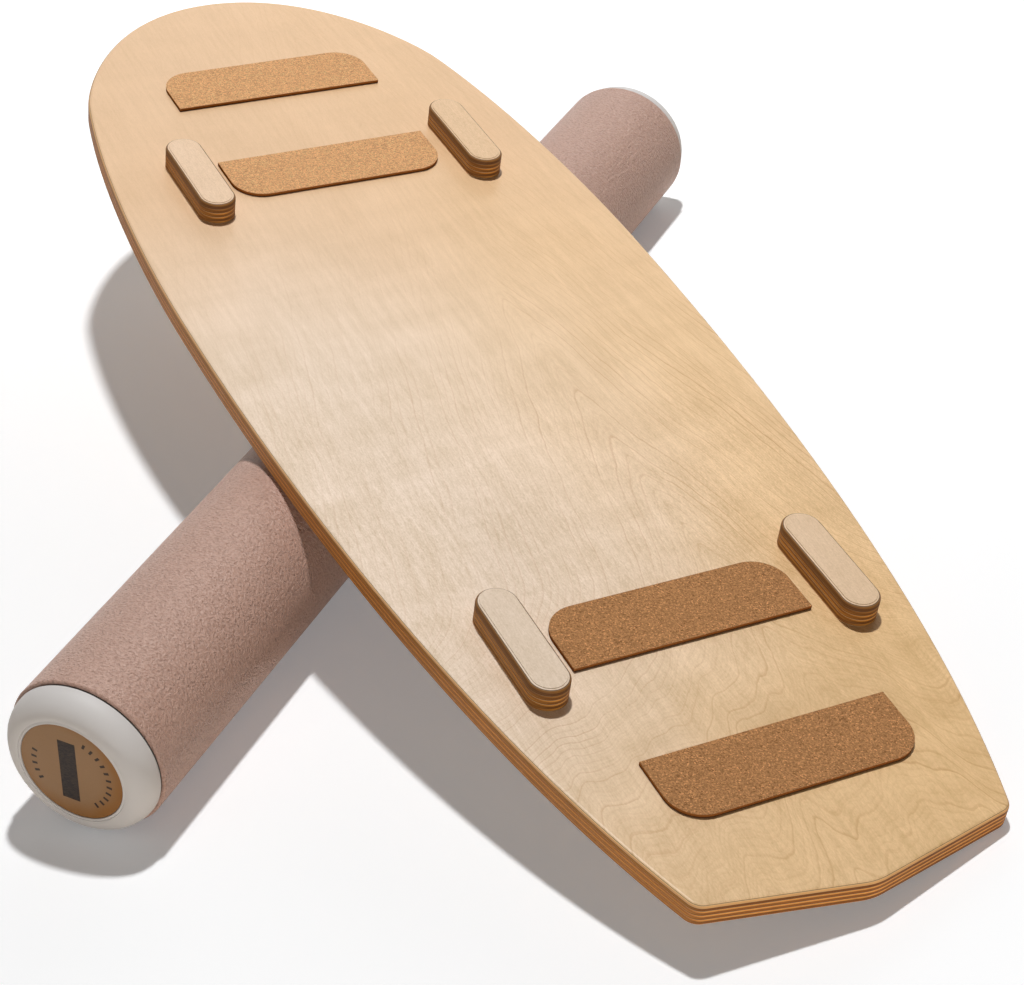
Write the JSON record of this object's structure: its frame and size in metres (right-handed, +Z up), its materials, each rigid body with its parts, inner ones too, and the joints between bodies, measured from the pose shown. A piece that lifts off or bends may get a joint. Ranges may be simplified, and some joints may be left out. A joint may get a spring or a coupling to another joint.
{
  "type": "rola bola",
  "caption": "Plywood balance board with round-ended stop blocks and cork pads, lying tilted on a covered cylindrical roller with domed end caps.",
  "frame": {"origin": "middle of the footprint on the floor, under the resting board and roller", "axes": "+Z up from the floor; +Y along the roller's axis to its far cap; +X level, at right angles to the roller, to the side where the tail corner touches the floor"},
  "size_m": [0.9354, 0.9466, 0.2165],
  "materials": {
    "plywood": "clear satin lacquer over pale veneer",
    "plywood_block": "clear satin lacquer over pale veneer",
    "cork": "matt pressed cork granules",
    "suede": "fine pebbled nap",
    "tube_plastic": "extruded",
    "cap_plastic": "satin moulded",
    "kraft": "satin brown board"
  },
  "bodies": {
    "board": {"deck": "plywood", "stop_nose_left": "plywood_block", "stop_nose_right": "plywood_block", "stop_tail_left": "plywood_block", "stop_tail_right": "plywood_block", "pad_nose_fore": "cork", "pad_nose_aft": "cork", "pad_tail_fore": "cork", "pad_tail_aft": "cork"},
    "roller_core": {"roller_tube": "tube_plastic"},
    "roller": {"roller_cover": "suede", "cap_near": "cap_plastic", "cap_far": "cap_plastic", "cap_disc_near": "kraft", "cap_disc_far": "kraft"}
  },
  "joints": [
    {"name": "roller_travel", "type": "slide", "parent": "board", "child": "roller_core", "axis": [0.9778, 0, -0.2097], "range_m": [-0.197, 0.197]},
    {"name": "roller_spin", "type": "hinge", "parent": "roller_core", "child": "roller", "pos_m": [-0.08652, 0, 0.058], "axis": [0, 1, 0], "range_deg": [-195, 195]}
  ],
  "couplings": [
    {"joint": "roller_spin", "follows": "roller_travel", "rad_per_m": -17.241}
  ]
}
